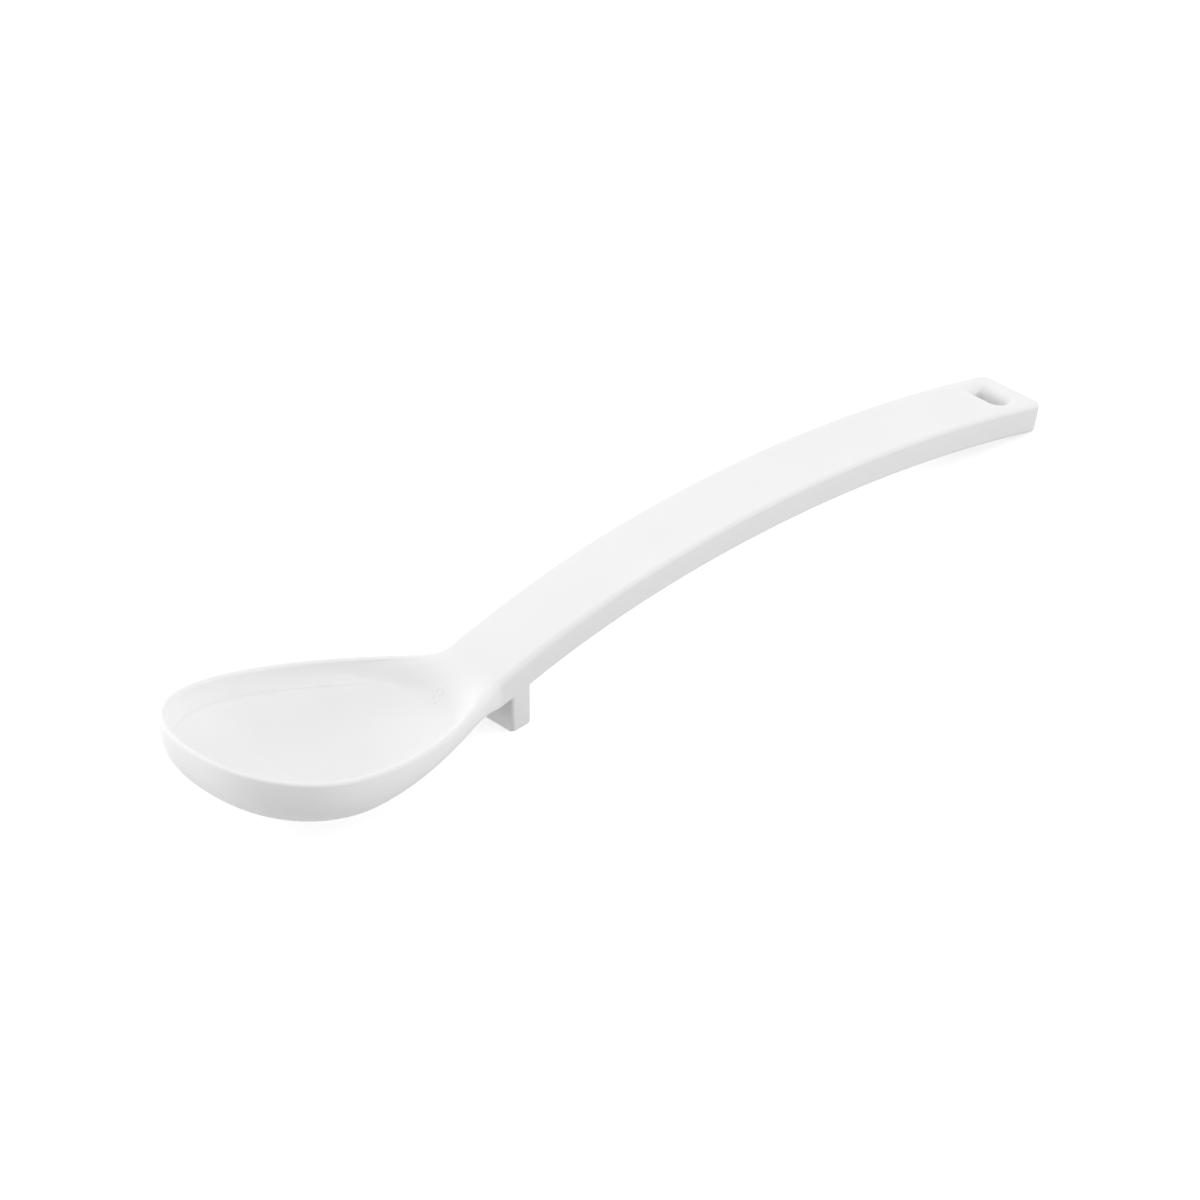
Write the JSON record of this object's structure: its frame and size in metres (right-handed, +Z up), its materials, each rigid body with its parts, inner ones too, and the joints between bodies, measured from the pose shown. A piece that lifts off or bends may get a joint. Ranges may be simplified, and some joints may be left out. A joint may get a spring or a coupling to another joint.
{
  "type": "measuring ladle",
  "caption": "Silicone measuring ladle: oval bowl with an engraved fill line, arched flat handle over a stiff core, a foot under the neck and a hanging slot.",
  "frame": {"origin": "on the worktop, under the middle of the length and of the width", "axes": "+X from the bowl's tip to the handle's end, +Z up from the worktop, the bowl open upwards"},
  "size_m": [0.28, 0.056, 0.035],
  "materials": {
    "silicone": "moulded, matte white",
    "nylon": "moulded, glass-filled, natural"
  },
  "bodies": {
    "root": {"silicone_skin": "silicone", "nylon_core": "nylon"}
  },
  "joints": []
}
